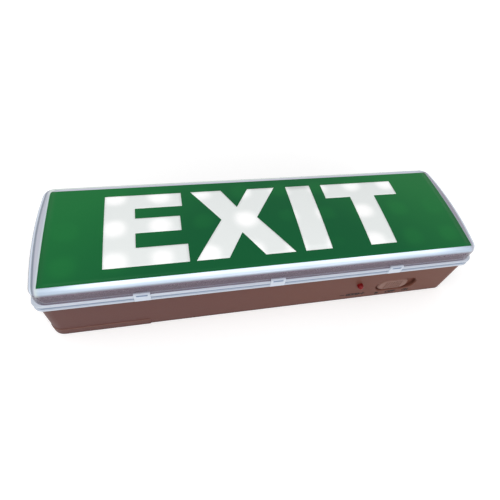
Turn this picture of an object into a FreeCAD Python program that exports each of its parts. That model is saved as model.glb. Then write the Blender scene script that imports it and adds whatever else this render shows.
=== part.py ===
"""Emergency exit light: a surface-mounted, self-contained LED sign lamp, lying on its back.

Millimetres. The origin is the centre of the back face, +X runs along the length in reading
direction, +Y points to the top of the legend and +Z points out of the back face at the reader.
The moulded housing holds a charger board, a battery, a selector switch and a charge indicator.
An upstand is welded on its ledge, a steel pan of LED strips closes it, and a clear cover with the
legend clips over both.
"""

import FreeCAD
import Part

import math
import os

# ------------------------------------------------------------------ driving dimensions
# Case outline, shared by the housing's rim and the cover's wall
case_length = 347.0  # over the bowed ends
case_width = 98.6
case_corner = 9.5  # plan radius of the corners
end_bow = 2.65  # how far each end bulges across its width

# Housing
case_height = 40.1  # back face to the ledge that the cover sits on
case_draft = 0.3  # the back is smaller than the rim by this much all round
wall = 2.2
floor = 2.4
ledge_thickness = 2.0
upstand_height = 14.9  # inner wall, above the ledge
upstand_wall = 1.6
upstand_gap = 1.6  # between the cover's wall and the upstand
foot_height = 7.0  # proud band round the left end
foot_proud = 0.6
foot_length = 75.2  # from the left end to the band's step
tongue_width = 9.0  # snap tongues on the upstand, inside the cover
tongue_height = 7.4

# Cover
cover_wall = 2.0
cover_rise = 20.0  # bottom of the flange to the crown's long edge
crown_rise = 2.2  # how much higher the middle of the crown is
shoulder_radius = 5.0
flange_height = 6.0
flange_reach = 1.4  # how far the flange stands out of the wall
flange_corner = 7.4
channel_height = 3.0  # groove round the flange's edge
channel_depth = 0.9
channel_lift = 1.7  # flange bottom to the groove
clip_pitch = 100.0  # clip pads on each long side
clips_per_side = 3
clip_width = 11.6
clip_rise = 2.6  # above the flange
clip_window_width = 7.8
clip_window_height = 2.0
clip_window_depth = 0.7

# Legend, diffuser and gasket
legend_end_margin = 8.5  # from the case's outline to the legend
legend_side_margin = 4.8
legend_corner = 5.0  # at the top of the legend
legend_thickness = 0.3
diffuser_thickness = 1.2
gasket_width = 1.4
gasket_depth = 1.2
gasket_edge = 0.6  # rim left outside the gasket's groove

# Clearances
running_gap = 0.3  # between pieces that move apart
bond_gap = 0.1  # layer of adhesive
slip_fit = 0.05  # radial, round screws and pins

# Selector switch in the front wall
recess_from_end = 59.2  # right end of the case to the recess's middle
recess_z = 16.4
recess_length = 37.9
recess_height = 16.4
recess_depth = 3.2
recess_lip = 0.8  # bevel round the mouth
pocket_wall = 1.6
knob_length = 28.6
knob_height = 14.0
knob_thickness = 2.6
knob_edge = 0.9  # rounding of the thumb face
knob_ribs = 7
knob_rib_pitch = 2.4
knob_rib_width = 1.0
knob_rib_depth = 0.4
selector_travel = 6.0
knob_end_gap = 1.6  # between the knob and the left end of the recess
lever_length = 5.0
lever_height = 3.4
lever_foot_length = 8.0
lever_foot_height = 5.0
lever_foot_thickness = 2.0
lever_grip = 1.4  # how deep the lever sits in the knob
switch_length = 30.0
switch_height = 11.0
switch_depth = 6.0
switch_lid = 1.2

# Charge indicator and the board behind the front wall
indicator_from_end = 96.8
indicator_z = 23.6
indicator_radius = 2.5
indicator_reach = 4.4  # out of the wall
indicator_flange = 2.9
indicator_flange_thickness = 1.0
lead_size = 0.5
lead_pitch = 2.54
front_board_from_end = 26.5
front_board_length = 81.0
front_board_bottom = 7.0
front_board_top = 31.0
rail_wall = 1.6  # slotted rails that hold this board on edge
rail_lap = 2.0

# Charger board
board_thickness = 1.6
board_length = 112.0
board_width = 62.0
board_gap = 8.5  # battery to board
board_y = 5.0
board_post = 6.0  # square posts under the corners
board_post_height = 6.0
hook_width = 6.0  # snap hooks for the board and the battery
hook_wall = 1.6
hook_lip = 1.4
hook_reach = 1.2

# Parts on the charger board: place from its middle, then size
core_x = -24.0
core_y = 8.0
core_length = 25.0
core_width = 7.0
core_height = 22.0
core_lift = 1.0
core_yoke = 3.5
core_window = 6.0
core_leg = 7.0
former_width = 20.0
former_flange = 1.0
coil_inset = 0.4
coil_width = 18.0
former_pin = 1.0
former_pin_pitch = 5.0
large_can_x = 4.0
large_can_y = 12.0
large_can_radius = 5.0
large_can_height = 20.0
small_can_x = 17.0
small_can_y = 14.0
small_can_radius = 4.0
small_can_height = 16.0
film_x = 34.0
film_y = 14.0
film_length = 13.0
film_width = 6.0
film_height = 11.0
choke_x = 22.0
choke_y = -16.0
choke_length = 14.0
choke_width = 12.0
choke_height = 13.0
choke_cheek = 1.6
choke_waist = 1.5
chip_x = -10.0
chip_y = -14.0
chip_length = 9.6
chip_width = 6.4
chip_height = 3.2
chip_lift = 0.6
chip_pins = 4  # on each side
chip_pin_reach = 1.0
chip_pin_height = 1.8
bridge_x = 36.0
bridge_y = -2.0
bridge_length = 9.0
bridge_width = 6.5
bridge_height = 3.0
bridge_bevel = 0.6
fuse_x = 42.0
fuse_y = 6.5
fuse_length = 8.5
fuse_width = 4.0
fuse_height = 8.0
terminal_x = 47.0
terminal_y = -14.0
terminal_length = 10.0
terminal_width = 15.5
terminal_height = 11.0
terminal_bevel = 3.0
terminal_pitch = 5.0
terminal_way_width = 3.2
terminal_way_height = 3.4
terminal_way_depth = 7.0
terminal_way_lift = 1.6
terminal_tab = 3.0
terminal_tab_height = 1.0
plug_x = -49.0
plug_length = 5.0
plug_width = 7.5
plug_height = 6.0
plug_inset = 0.75
plug_top = 3.0

# Screws
screw_radius = 1.45
screw_head_radius = 2.9
screw_head_height = 1.8
screw_bite = 9.0  # depth of a pilot hole

# Battery and its cradle
cell_radius = 9.4
battery_length = 67.0
battery_from_end = 75.5  # left end of the case to the battery's middle
battery_y = 0.0
battery_hook_rise = 5.2  # above the cells' middle
sleeve_waist = 0.72  # height of the sleeve between the cells, as a share of the cells'
saddle_base = 1.2
saddle_thickness = 2.4
saddle_spacing = 40.0

# LED pan and strips
pan_gap = 0.5  # to the upstand
pan_sheet = 0.8
pan_drop = 0.5  # pan floor below the ledge
pan_side = 8.0
pan_screw_inset = 7.8  # from the pan's end
pan_post = 6.8  # square posts under the pan
pan_post_inset = 12.1  # from the pan's side
pan_wire_hole = 4.0
led_columns = 10
led_rows = 3
strip_width = 12.0
strip_thickness = 1.0
strip_end_gap = 11.75  # to the pan's sides
strip_side_gap = 7.8
strip_margin = 5.0  # past the last LED
led_length = 3.5
led_width = 2.8
led_height = 0.8

# Wall fixing and cable entry
wall_screw_spacing = 300.0
wall_screw_hole = 2.4
wall_screw_collar = 5.5
wall_screw_collar_height = 2.0
cable_from_board = 40.0
cable_y = 8.0
cable_hole = 4.5
grommet_radius = 7.0
grommet_lip = 1.8
grommet_lip_thickness = 1.6
grommet_spout = 5.0
grommet_spout_wall = 1.8

# ------------------------------------------------------------------ worked-out places
end_radius = ((case_width / 2) ** 2 + end_bow**2) / (2 * end_bow)
upstand_inset = cover_wall + upstand_gap
flange_bottom = case_height + running_gap
flange_top = flange_bottom + flange_height
crown_edge = flange_bottom + cover_rise
crown_top = crown_edge + crown_rise
recess_x = case_length / 2 - recess_from_end
indicator_x = case_length / 2 - indicator_from_end
front_board_right = case_length / 2 - front_board_from_end
front_board_left = front_board_right - front_board_length
front_face = -(case_width / 2 - case_draft / 2)
front_wall_inside = -(case_width / 2 - case_draft - wall)
recess_floor = front_face + recess_depth
knob_x = recess_x - recess_length / 2 + knob_end_gap + knob_length / 2
knob_back = recess_floor - running_gap
knob_front = knob_back - knob_thickness
switch_front = recess_floor + pocket_wall + running_gap
switch_back = switch_front + switch_depth
board_top = floor + board_post_height + board_thickness
battery_x = battery_from_end - case_length / 2
board_x = battery_x + battery_length / 2 + board_gap + board_length / 2
cable_x = board_x + board_length / 2 + cable_from_board
battery_z = floor + saddle_base + cell_radius
pan_inset = upstand_inset + upstand_wall + pan_gap
pan_bottom = case_height - pan_drop
pan_post_x = case_length / 2 - pan_inset - pan_screw_inset
pan_post_y = case_width / 2 - pan_inset - pan_post_inset
strip_bottom = pan_bottom + pan_sheet
strip_length = case_length - 2 * (pan_inset + pan_sheet + strip_end_gap)
led_pitch_x = (strip_length - 2 * strip_margin - led_length) / (led_columns - 1)
strips_across = case_width - 2 * (pan_inset + pan_sheet + strip_side_gap) - strip_width
led_pitch_y = strips_across / (led_rows - 1)
legend_length = case_length - 2 * legend_end_margin
legend_width = case_width - 2 * legend_side_margin


# ------------------------------------------------------------------ shapes used by several pieces
def vec(x, y, z):
    return FreeCAD.Vector(x, y, z)


def block(x0, x1, y0, y1, z0, z1):
    """Box between two corners, given in any order."""
    low = vec(min(x0, x1), min(y0, y1), min(z0, z1))
    return Part.makeBox(abs(x1 - x0), abs(y1 - y0), abs(z1 - z0), low)


def rod(radius, x, y, z0, z1):
    """Upright cylinder."""
    return Part.makeCylinder(radius, z1 - z0, vec(x, y, z0))


def rod_y(radius, x, z, y0, y1):
    """Cylinder along Y."""
    return Part.makeCylinder(radius, y1 - y0, vec(x, y0, z), vec(0, 1, 0))


def union(shapes):
    """One shape from several that touch or overlap."""
    first, *rest = shapes
    return (first.fuse(rest) if rest else first).removeSplitter()


def outline(inset, z, corner=None):
    """The case outline in plan, moved in by inset: straight sides, bowed ends, round corners."""
    side = case_width / 2 - inset
    corner = max(corner if corner is not None else case_corner - inset, 0.5)
    bow = end_radius - inset
    bow_x = case_length / 2 - end_radius
    corner_y = side - corner
    corner_x = bow_x + math.sqrt((bow - corner) ** 2 - corner_y**2)
    turn = math.atan2(corner_y, corner_x - bow_x)
    half = (turn + math.pi / 2) / 2
    mid_x, mid_y = corner_x + corner * math.cos(half), corner_y + corner * math.sin(half)
    end_x, end_y = bow_x + bow * math.cos(turn), bow * math.sin(turn)

    def arc(*points):
        return Part.Arc(*[vec(x, y, z) for x, y in points]).toShape()

    def line(start, end):
        return Part.makeLine(vec(*start, z), vec(*end, z))

    return Part.Wire(
        [
            line((-corner_x, -side), (corner_x, -side)),
            arc((corner_x, -side), (mid_x, -mid_y), (end_x, -end_y)),
            arc((end_x, -end_y), (bow_x + bow, 0), (end_x, end_y)),
            arc((end_x, end_y), (mid_x, mid_y), (corner_x, side)),
            line((corner_x, side), (-corner_x, side)),
            arc((-corner_x, side), (-mid_x, mid_y), (-end_x, end_y)),
            arc((-end_x, end_y), (-bow_x - bow, 0), (-end_x, -end_y)),
            arc((-end_x, -end_y), (-mid_x, -mid_y), (-corner_x, -side)),
        ]
    )


def slab(inset, z0, z1, corner=None):
    """Plate with the case outline."""
    return Part.Face(outline(inset, z0, corner)).extrude(vec(0, 0, z1 - z0))


def ring(outer, inner, z0, z1, corner=None):
    """Wall that follows the case outline, between two insets."""
    return slab(outer, z0, z1, corner).cut(slab(inner, z0 - 1, z1 + 1))


def obround_wire(length, height, x, y, z):
    """Upright obround in the plane at y, its long side along X."""
    r = height / 2
    s = length / 2 - r
    offsets = ((-s, -r), (s, -r), (s + r, 0), (s, r), (-s, r), (-s - r, 0))
    points = [vec(x + a, y, z + b) for a, b in offsets]
    return Part.Wire(
        [
            Part.makeLine(points[0], points[1]),
            Part.Arc(points[1], points[2], points[3]).toShape(),
            Part.makeLine(points[3], points[4]),
            Part.Arc(points[4], points[5], points[0]).toShape(),
        ]
    )


def obround(length, height, x, z, y0, y1):
    """Obround plate from y0 to y1."""
    return Part.Face(obround_wire(length, height, x, y0, z)).extrude(vec(0, y1 - y0, 0))


def crown_block(lower, half_length, half_width):
    """Everything under the cover's crown moved down by lower, over a rectangle."""
    run = case_width / 2
    radius = (run**2 + crown_rise**2) / (2 * crown_rise)
    top = crown_top - lower
    edge = top - (radius - lower) + math.sqrt((radius - lower) ** 2 - half_width**2)
    a, b = vec(-half_length, -half_width, 0), vec(-half_length, half_width, 0)
    c, d = vec(-half_length, half_width, edge), vec(-half_length, -half_width, edge)
    profile = [
        Part.makeLine(a, b),
        Part.makeLine(b, c),
        Part.Arc(c, vec(-half_length, 0, top), d).toShape(),
        Part.makeLine(d, a),
    ]
    return Part.Face(Part.Wire(profile)).extrude(vec(2 * half_length, 0, 0))


def clip_places():
    """X of each clip along a long side."""
    return [(i - (clips_per_side - 1) / 2) * clip_pitch for i in range(clips_per_side)]


def led_places():
    """X and Y of each LED."""
    xs = [(i - (led_columns - 1) / 2) * led_pitch_x for i in range(led_columns)]
    ys = [(j - (led_rows - 1) / 2) * led_pitch_y for j in range(led_rows)]
    return xs, ys


def pan_screw_places():
    """X and Y of the pan's two screws."""
    return [(side * pan_post_x, 0) for side in (-1, 1)]


def screw(x, y, seat, length):
    """Pan-head screw pointing down, its head on the plane at seat."""
    head = rod(screw_head_radius, x, y, seat, seat + screw_head_height)
    return union([head, rod(screw_radius, x, y, seat - length, seat)])


def snap_hook(x, near, side, under, reach):
    """Arm on the floor, beside an edge at y = near, with a lip that reaches back over it."""
    x0, x1 = x - hook_width / 2, x + hook_width / 2
    far = near + side * hook_wall
    top = under + hook_lip
    arm = block(x0, x1, near, far, floor / 2, top)
    return arm.fuse(block(x0, x1, near - side * reach, far, under, top))


# ------------------------------------------------------------------ housing
def housing_shell():
    """Drafted tray with a ledge and a gasket groove, and the proud band at the left end."""
    outer = Part.makeLoft([outline(case_draft, 0), outline(0, case_height)], True, True)
    left = -case_length / 2
    band = slab(case_draft - foot_proud, 0, foot_height)
    band = band.common(
        block(left - 5, left + foot_length, -case_width, case_width, -1, foot_height + 1)
    )
    body = union([outer, band])
    body = body.cut(slab(case_draft + wall, floor, case_height - ledge_thickness))
    body = body.cut(slab(upstand_inset + upstand_wall, floor, case_height + 1))
    groove = ring(gasket_edge, gasket_edge + gasket_width, case_height - gasket_depth, case_height + 1)
    return body.cut(groove)


def upstand():
    """Thin wall welded on the ledge, with a snap tongue behind each of the cover's clip pads."""
    wall_ring = ring(upstand_inset, upstand_inset + upstand_wall, case_height, case_height + upstand_height)
    near = case_width / 2 - upstand_inset - upstand_wall / 2
    far = case_width / 2 - cover_wall - running_gap
    half = tongue_width / 2
    tongues = [
        block(x - half, x + half, side * near, side * far, case_height, case_height + tongue_height)
        for x in clip_places()
        for side in (-1, 1)
    ]
    return union([wall_ring, *tongues])


def cradle():
    """Two saddle ribs under the battery, with a snap hook at each end of each rib."""
    pieces = []
    edge = 2 * cell_radius + running_gap
    grown = cell_radius + running_gap
    reach = grown - math.sqrt(grown**2 - battery_hook_rise**2)
    sleeve = battery_sleeve(running_gap)
    for i in (-1, 1):
        x = battery_x + i * saddle_spacing / 2
        x0, x1 = x - saddle_thickness / 2, x + saddle_thickness / 2
        rib = block(x0, x1, battery_y - edge, battery_y + edge, floor / 2, battery_z)
        pieces.append(rib.cut(sleeve))
        for j in (-1, 1):
            pieces.append(
                snap_hook(x, battery_y + j * edge, j, battery_z + battery_hook_rise, reach)
            )
    return pieces


def board_seats():
    """Square posts under the charger board's corners, and snap hooks over its long sides."""
    pieces = []
    half = board_post / 2
    for i in (-1, 1):
        for j in (-1, 1):
            x = board_x + i * (board_length / 2 - half)
            y = board_y + j * (board_width / 2 - half)
            pieces.append(block(x - half, x + half, y - half, y + half, floor / 2, floor + board_post_height))
            edge = board_y + j * (board_width / 2 + slip_fit)
            pieces.append(
                snap_hook(board_x + i * board_length / 4, edge, j, board_top + slip_fit, hook_reach)
            )
    return pieces


def pan_seats():
    """Posts under the pan: one at each corner, and one with a pilot hole at each end."""
    half = pan_post / 2
    posts = []
    for side in (-1, 1):
        x = side * pan_post_x
        for y in (-pan_post_y, 0, pan_post_y):
            posts.append(block(x - half, x + half, y - half, y + half, floor / 2, pan_bottom))
    pilots = [
        rod(screw_radius + slip_fit, x, y, pan_bottom - screw_bite, pan_bottom + 1)
        for x, y in pan_screw_places()
    ]
    return [post.cut(pilots) for post in posts]


def front_rails():
    """Slotted rails inside the front wall, in which the switch board stands."""
    rails = []
    back = switch_back + board_thickness
    for edge, side in ((front_board_left, -1), (front_board_right, 1)):
        inner = edge - side * rail_lap
        outer = edge + side * (slip_fit + rail_wall)
        rail = block(inner, outer, front_face + wall / 2, back + rail_wall, floor / 2, front_board_top)
        slot = block(
            inner - side,
            edge + side * slip_fit,
            switch_back - slip_fit,
            back + slip_fit,
            front_board_bottom,
            front_board_top + 1,
        )
        rails.append(rail.cut(slot))
    return rails


def pocket_outside():
    """Bulge on the wall's inside that carries the switch recess."""
    grow = 2 * pocket_wall
    return obround(
        recess_length + grow,
        recess_height + grow,
        recess_x,
        recess_z,
        front_face + wall / 2,
        recess_floor + pocket_wall,
    )


def pocket_cuts():
    """The recess with its bevelled mouth, and the slot for the lever."""
    out = 2 * (recess_lip + 1)
    mouth = Part.makeLoft(
        [
            obround_wire(recess_length + out, recess_height + out, recess_x, front_face - 1, recess_z),
            obround_wire(recess_length, recess_height, recess_x, front_face + recess_lip, recess_z),
        ],
        True,
        True,
    )
    recess = obround(recess_length, recess_height, recess_x, recess_z, front_face, recess_floor)
    half = lever_height / 2 + running_gap
    slot = block(
        knob_x - lever_length / 2 - running_gap,
        knob_x + lever_length / 2 + selector_travel + running_gap,
        recess_floor - 0.5,
        recess_floor + pocket_wall + 0.5,
        recess_z - half,
        recess_z + half,
    )
    return [mouth, recess, slot]


def wall_screw_holes(radius, low, high):
    """Upright cylinders at the two wall screws."""
    return [rod(radius, side * wall_screw_spacing / 2, 0, low, high) for side in (-1, 1)]


def housing():
    collar_top = floor + wall_screw_collar_height
    body = union(
        [
            housing_shell(),
            *cradle(),
            *board_seats(),
            *pan_seats(),
            *front_rails(),
            *wall_screw_holes(wall_screw_collar, floor / 2, collar_top),
            pocket_outside(),
        ]
    )
    holes = wall_screw_holes(wall_screw_hole, -1, collar_top + 1)
    holes.append(rod(grommet_radius, cable_x, cable_y, -1, floor + 1))
    indicator_hole = indicator_radius + slip_fit
    holes.append(
        rod_y(indicator_hole, indicator_x, indicator_z, front_face - 2, front_face + wall + 1)
    )
    return body.cut(holes + pocket_cuts()).removeSplitter()


def cable_grommet():
    """Rubber grommet that snaps into the floor, with a spout that grips the mains cable."""
    lip = grommet_radius + grommet_lip
    waist = grommet_radius - slip_fit
    spout = cable_hole + grommet_spout_wall
    top = floor + grommet_lip_thickness
    body = union(
        [
            rod(waist, cable_x, cable_y, running_gap, floor),
            rod(lip, cable_x, cable_y, floor, top),
            rod(spout, cable_x, cable_y, top, top + grommet_spout),
        ]
    )
    return body.cut(rod(cable_hole, cable_x, cable_y, -1, top + grommet_spout + 1))


# ------------------------------------------------------------------ cover and what it carries
def dome(inset):
    """Solid under the cover's surface, moved in by inset, before its shoulders are rounded."""
    reach = case_length / 2 + 5
    block_under = crown_block(inset, reach, case_width / 2 + 5)
    return slab(inset, flange_bottom - (1 if inset else 0), crown_top + 5).common(block_under)


def crown_edges(body):
    """The edges round the highest face."""
    return max(body.Faces, key=lambda f: f.CenterOfMass.z).Edges


def clip_pads():
    """Raised pads on the flange, each with a shallow window, on both long sides."""
    pads, windows = [], []
    outer = case_width / 2 + flange_reach
    half, half_window = clip_width / 2, clip_window_width / 2
    top = flange_top + clip_rise
    window_top = top - (clip_rise - clip_window_height) / 2 - 0.1
    for x in clip_places():
        pads.append(
            block(x - half, x + half, case_width / 2 - cover_wall / 2, outer, flange_bottom, top)
        )
        windows.append(
            block(
                x - half_window,
                x + half_window,
                outer - clip_window_depth,
                outer + 1,
                window_top - clip_window_height,
                window_top,
            )
        )
    across = (vec(0, 0, 0), vec(0, 1, 0))
    pads += [shape.mirror(*across) for shape in pads]
    windows += [shape.mirror(*across) for shape in windows]
    return pads, windows


def cover():
    """Clear cover: arched top, round shoulders, and a grooved flange with clip pads."""
    flange = slab(-flange_reach, flange_bottom, flange_top, flange_corner)
    groove_bottom = flange_bottom + channel_lift
    groove = slab(-flange_reach - 1, groove_bottom, groove_bottom + channel_height).cut(
        slab(
            channel_depth - flange_reach,
            groove_bottom - 1,
            groove_bottom + channel_height + 1,
            flange_corner - channel_depth,
        )
    )
    pads, windows = clip_pads()
    outside, inside = dome(0), dome(cover_wall)
    outside = outside.makeFillet(shoulder_radius, crown_edges(outside))
    inside = inside.makeChamfer(shoulder_radius - cover_wall, crown_edges(inside))
    body = union([outside, flange.cut(groove), *pads])
    return body.cut([inside, *windows]).removeSplitter()


def crown_sheet(under, over, half_length, half_width):
    """Sheet that follows the crown, between two depths below its surface."""
    return crown_block(over, half_length, half_width).cut(
        crown_block(under, half_length + 1, half_width + 1)
    )


def legend_film():
    """Printed film on the crown, with its two upper corners rounded."""
    half_length, half_width = legend_length / 2, legend_width / 2
    sheet = crown_sheet(-bond_gap, -bond_gap - legend_thickness, half_length + 1, half_width + 1)
    plan = block(-half_length, half_length, -half_width, half_width, 0, 2 * crown_top)
    upper = [e for e in plan.Edges if e.BoundBox.ZLength > 1 and e.BoundBox.YMin > 0]
    return sheet.common(plan.makeFillet(legend_corner, upper))


def diffuser_panel():
    """Opal panel bonded under the crown."""
    margin = shoulder_radius + running_gap
    sheet = crown_sheet(
        cover_wall + bond_gap + diffuser_thickness,
        cover_wall + bond_gap,
        case_length / 2,
        case_width / 2 - margin,
    )
    return sheet.common(slab(margin, 0, crown_top + 5))


def gasket():
    """Seal in the ledge's groove, flush with the ledge."""
    outer = gasket_edge + slip_fit
    inner = gasket_edge + gasket_width - slip_fit
    return ring(outer, inner, case_height - gasket_depth, case_height)


# ------------------------------------------------------------------ LED pan
def led_pan():
    """Pressed steel pan that closes the housing and carries the LED strips."""
    pan = slab(pan_inset, pan_bottom, pan_bottom + pan_side)
    pan = pan.cut(slab(pan_inset + pan_sheet, strip_bottom, pan_bottom + pan_side + 1))
    holes = [
        rod(screw_radius + 4 * slip_fit, x, y, pan_bottom - 1, strip_bottom + 1)
        for x, y in pan_screw_places()
    ]
    wire_hole_y = led_pitch_y / 2
    holes.append(rod(pan_wire_hole, 0, wire_hole_y, pan_bottom - 1, strip_bottom + 1))
    return pan.cut(holes)


def pan_screws():
    return [screw(x, y, strip_bottom, screw_bite - 1) for x, y in pan_screw_places()]


def led_strip(y):
    half_length, half_width = strip_length / 2, strip_width / 2
    top = strip_bottom + strip_thickness
    return block(-half_length, half_length, y - half_width, y + half_width, strip_bottom, top)


def led_chips():
    xs, ys = led_places()
    low = strip_bottom + strip_thickness
    a, b = led_length / 2, led_width / 2
    return [block(x - a, x + a, y - b, y + b, low, low + led_height) for x in xs for y in ys]


# ------------------------------------------------------------------ battery
def battery_sleeve(grow):
    """Two cells side by side in one shrink sleeve, larger all round by grow."""
    r = cell_radius + grow
    x0 = battery_x - battery_length / 2 - grow
    x1 = battery_x + battery_length / 2 + grow
    near, far = battery_y - cell_radius, battery_y + cell_radius
    cells = [
        Part.makeCylinder(r, x1 - x0, vec(x0, y, battery_z), vec(1, 0, 0)) for y in (near, far)
    ]
    waist = sleeve_waist * r
    return union([*cells, block(x0, x1, near, far, battery_z - waist, battery_z + waist)])


# ------------------------------------------------------------------ charger board
def on_board(dx, dy, length, width, height, lift=0.0):
    """Box on the charger board, centred at an offset from the board's middle."""
    x, y, z = board_x + dx, board_y + dy, board_top + lift
    return block(x - length / 2, x + length / 2, y - width / 2, y + width / 2, z, z + height)


def control_board():
    return on_board(0, 0, board_length, board_width, board_thickness, -board_thickness)


def transformer_core():
    """Pair of E cores round the coil: a closed frame with a centre leg."""
    frame = on_board(core_x, core_y, core_length, core_width, core_height, core_lift)
    window_height = core_height - 2 * core_yoke
    for side in (-1, 1):
        x = core_x + side * (core_leg + core_window) / 2
        window = on_board(x, core_y, core_window, core_width + 2, window_height, core_lift + core_yoke)
        frame = frame.cut(window)
    return frame


def transformer_coil():
    """Wound bobbin on the centre leg, with the flanges and pins of its former."""
    gap = 2 * slip_fit
    low = core_lift + core_yoke + gap
    height = core_height - 2 * core_yoke - 2 * gap
    length = core_leg + 2 * core_window - 2 * gap
    spool = on_board(core_x, core_y, length - 2 * coil_inset, coil_width, height, low)
    flanges = [
        on_board(core_x, core_y, length, former_width, former_flange, z)
        for z in (low, low + height - former_flange)
    ]
    pin_y = (former_width - former_pin) / 2 - coil_inset
    pins = [
        on_board(core_x + i * former_pin_pitch, core_y + j * pin_y, former_pin, former_pin, low)
        for i in (-1, 0, 1)
        for j in (-1, 1)
    ]
    return union([union([spool, *flanges]).cut(transformer_core()), *pins])


def capacitors():
    """Upright electrolytic capacitors."""
    return [
        rod(radius, board_x + dx, board_y + dy, board_top, board_top + height)
        for dx, dy, radius, height in (
            (large_can_x, large_can_y, large_can_radius, large_can_height),
            (small_can_x, small_can_y, small_can_radius, small_can_height),
        )
    ]


def film_capacitor():
    return on_board(film_x, film_y, film_length, film_width, film_height)


def mains_choke():
    """Coil between two cheeks, beside the mains terminals."""
    span = choke_length - choke_cheek
    cheeks = [
        on_board(choke_x + side * span / 2, choke_y, choke_cheek, choke_width, choke_height)
        for side in (-1, 1)
    ]
    width, height = choke_width - 2 * choke_waist, choke_height - 2 * choke_waist
    return union([on_board(choke_x, choke_y, span, width, height, choke_waist), *cheeks])


def driver_chip():
    """Chip with a row of legs on each side."""
    body = on_board(chip_x, chip_y, chip_length, chip_width, chip_height, chip_lift)
    side_y = (chip_width + chip_pin_reach) / 2
    legs = [
        on_board(
            chip_x + (i - (chip_pins - 1) / 2) * lead_pitch,
            chip_y + j * side_y,
            lead_size,
            chip_pin_reach,
            chip_pin_height,
        )
        for i in range(chip_pins)
        for j in (-1, 1)
    ]
    return union([body, *legs])


def bridge_rectifier():
    body = on_board(bridge_x, bridge_y, bridge_length, bridge_width, bridge_height)
    top = max(body.Faces, key=lambda f: f.CenterOfMass.z)
    return body.makeChamfer(bridge_bevel, top.Edges)


def fuse():
    """Boxed fuse on two short leads, seated on the board."""
    return on_board(fuse_x, fuse_y, fuse_length, fuse_width, fuse_height)


def terminal_ways():
    """Offset in Y of each way of the mains terminal."""
    return [terminal_y + i * terminal_pitch for i in (-1, 0, 1)]


def terminal_block():
    """Three-way push-in terminal for the mains wires, bevelled over its mouths."""
    body = on_board(terminal_x, terminal_y, terminal_length, terminal_width, terminal_height)
    mouth_x = terminal_x + terminal_length / 2
    upper = max(body.Edges, key=lambda e: e.CenterOfMass.x + e.CenterOfMass.z)
    body = body.makeChamfer(terminal_bevel, [upper])
    depth = 2 * terminal_way_depth
    ways = [
        on_board(mouth_x, y, depth, terminal_way_width, terminal_way_height, terminal_way_lift)
        for y in terminal_ways()
    ]
    return body.cut(ways)


def terminal_tabs():
    """Release tab over each way of the terminal."""
    x = terminal_x - terminal_length / 2 + terminal_tab
    return [
        on_board(x, y, terminal_tab, terminal_tab, terminal_tab_height, terminal_height)
        for y in terminal_ways()
    ]


def battery_plug():
    """Two-way plug in its header at the board's battery end."""
    header = on_board(plug_x, 0, plug_length, plug_width, plug_height)
    inner = 2 * plug_inset
    plug = on_board(plug_x, 0, plug_length - inner, plug_width - inner, plug_top, plug_height)
    return union([header, plug])


# ------------------------------------------------------------------ front board, switch, indicator
def front_board():
    """Board behind the front wall that carries the selector switch and the indicator."""
    board = block(
        front_board_left,
        front_board_right,
        switch_back,
        switch_back + board_thickness,
        front_board_bottom,
        front_board_top,
    )
    pins = [
        block(x - hole, x + hole, switch_back - 1, switch_back + board_thickness + 1, z - hole, z + hole)
        for x, z, hole in lead_places()
    ]
    return board.cut(pins)


def lead_places():
    """X, Z and half width of the holes for the indicator's two leads."""
    half = lead_size / 2 + slip_fit
    return [(indicator_x + side * lead_pitch / 2, indicator_z, half) for side in (-1, 1)]


def switch_chamber():
    """Space in the switch in which the lever's foot slides."""
    half = lever_foot_length / 2 + running_gap
    return block(
        knob_x - half,
        knob_x + half + selector_travel,
        switch_front + switch_lid,
        switch_front + switch_lid + lever_foot_thickness + 2 * running_gap,
        recess_z - lever_foot_height / 2 - running_gap,
        recess_z + lever_foot_height / 2 + running_gap,
    )


def slide_switch():
    """Slide switch, open at the front for its lever."""
    middle = knob_x + selector_travel / 2
    half_length, half_height = switch_length / 2, switch_height / 2
    case = block(
        middle - half_length,
        middle + half_length,
        switch_front,
        switch_back,
        recess_z - half_height,
        recess_z + half_height,
    )
    slot = block(
        knob_x - lever_length / 2 - running_gap,
        knob_x + lever_length / 2 + running_gap + selector_travel,
        switch_front - 1,
        switch_front + switch_lid + 0.5,
        recess_z - lever_height / 2 - running_gap,
        recess_z + lever_height / 2 + running_gap,
    )
    return case.cut([slot, switch_chamber()])


def switch_lever():
    """Lever with a foot in the switch and a stem up into the knob."""
    foot_front = switch_front + switch_lid + running_gap
    foot = block(
        knob_x - lever_foot_length / 2,
        knob_x + lever_foot_length / 2,
        foot_front,
        foot_front + lever_foot_thickness,
        recess_z - lever_foot_height / 2,
        recess_z + lever_foot_height / 2,
    )
    return union([foot, lever_stem(0, foot_front + 0.5)])


def lever_stem(grow, back):
    """The lever's stem, from inside the knob back to a given plane."""
    half_length, half_height = lever_length / 2 + grow, lever_height / 2 + grow
    return block(
        knob_x - half_length,
        knob_x + half_length,
        knob_back - lever_grip - grow,
        back,
        recess_z - half_height,
        recess_z + half_height,
    )


def switch_knob():
    """Ribbed thumb pad that slides in the recess."""
    pad = obround(knob_length, knob_height, knob_x, recess_z, knob_front, knob_back)
    face = min(pad.Faces, key=lambda f: f.CenterOfMass.y)
    pad = pad.makeChamfer(knob_edge, face.Edges)
    grooves = []
    half = knob_height / 2 - 2 * knob_edge
    for i in range(knob_ribs):
        x = knob_x + (i - (knob_ribs - 1) / 2) * knob_rib_pitch
        gap = (knob_rib_pitch - knob_rib_width) / 2
        deep = knob_front + knob_rib_depth
        grooves.append(block(x - gap, x + gap, knob_front - 1, deep, recess_z - half, recess_z + half))
    return pad.cut([*grooves, lever_stem(slip_fit, knob_back + 1)])


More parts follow.
